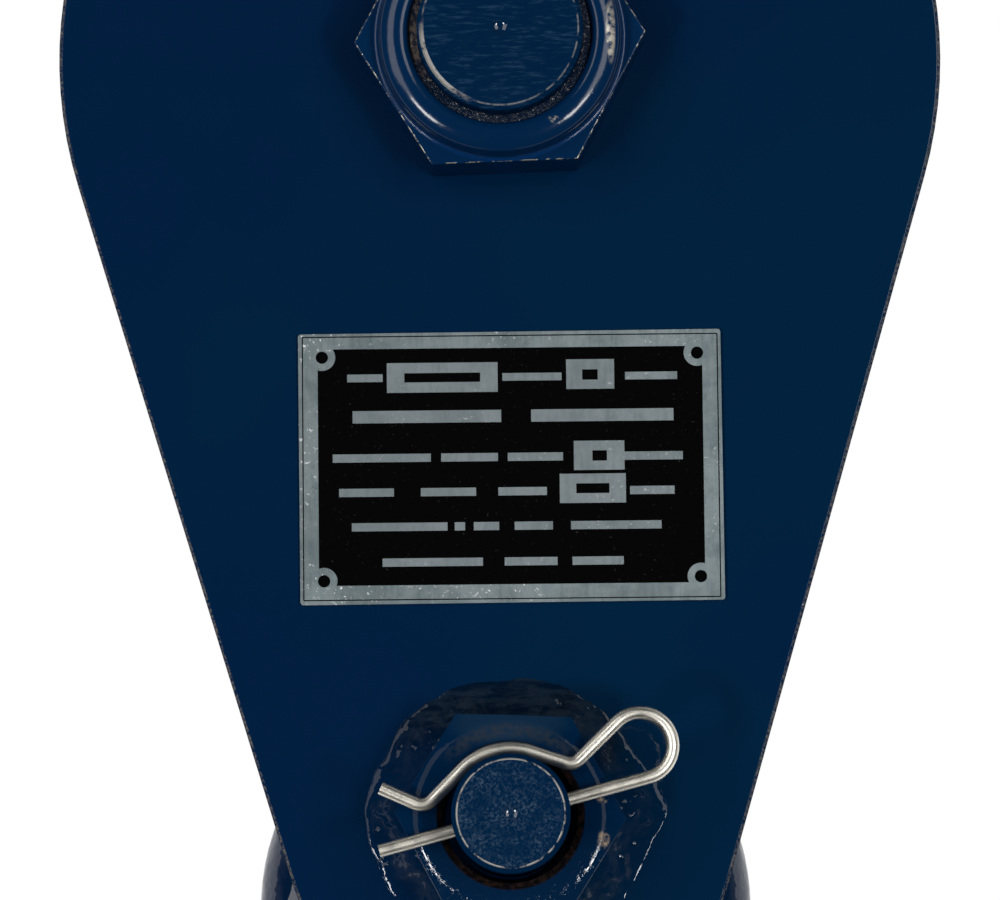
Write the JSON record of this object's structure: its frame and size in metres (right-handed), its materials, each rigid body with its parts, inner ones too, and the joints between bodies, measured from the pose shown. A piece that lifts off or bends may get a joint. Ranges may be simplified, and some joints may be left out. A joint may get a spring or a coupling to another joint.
{
  "type": "snatch block",
  "caption": "Wire rope snatch block: two teardrop side plates, a grooved sheave on a bushed pin, a welded boss, a head pin with a hairpin clip, and a shackle.",
  "frame": {"origin": "middle of the sheave, on the axis of the centre pin", "axes": "+Z along the centre pin, out of the front plate with the nut, the boss and the rating plate; +Y from the head pin towards the sheave; +X to the right when the front plate is seen with the sheave up"},
  "size_m": [0.1724, 0.3478, 0.115],
  "materials": {
    "navy_paint": "gloss, sprayed over forged and cut steel",
    "zinc_plate": "bright zinc plated",
    "bare_steel": "oiled, turned",
    "bronze": "machined bronze",
    "nylon": "satin",
    "bare_aluminium": "rolled, with a printed black field"
  },
  "bodies": {
    "frame": {"front_side_plate": "navy_paint", "head_boss": "navy_paint", "boss_weld": "navy_paint", "rating_plate": "bare_aluminium", "centre_pin": "navy_paint", "centre_lock_nut": "navy_paint", "lock_nut_insert": "nylon", "grease_fitting": "zinc_plate", "front_thrust_washer": "bronze", "rear_thrust_washer": "bronze", "head_washer": "bare_steel"},
    "sheave": {"sheave": "navy_paint", "bronze_bushing": "bronze"},
    "rear_cheek": {"rear_side_plate": "navy_paint", "rear_boss": "navy_paint", "rear_boss_weld": "navy_paint"},
    "head_pin": {"head_pin": "navy_paint"},
    "hairpin": {"hairpin_clip": "zinc_plate"},
    "shackle": {"shackle_bow": "navy_paint"},
    "shackle_pin": {"shackle_pin": "navy_paint"}
  },
  "joints": [
    {"name": "sheave_spin", "type": "hinge", "parent": "frame", "child": "sheave", "pos_m": [0, 0, 0], "axis": [0, 0, 1], "continuous": true},
    {"name": "cheek_swing", "type": "hinge", "parent": "frame", "child": "rear_cheek", "pos_m": [0, 0, -0.027], "axis": [0, 0, 1], "range_deg": [0, 150]},
    {"name": "head_pin_draw", "type": "slide", "parent": "frame", "child": "head_pin", "axis": [0, 0, -1], "range_m": [0, 0.11]},
    {"name": "hairpin_pull", "type": "slide", "parent": "head_pin", "child": "hairpin", "axis": [0.9681, 0.2504, 0], "range_m": [0, 0.04], "deforming": ["hairpin_clip"]},
    {"name": "shackle_swing", "type": "hinge", "parent": "frame", "child": "shackle", "pos_m": [0, -0.1497, 0], "axis": [0, 0, 1], "range_deg": [-80, 85]},
    {"name": "shackle_pin_draw", "type": "slide", "parent": "shackle", "child": "shackle_pin", "axis": [0.9979, -0.0645, 0], "range_m": [0, 0.083]}
  ]
}
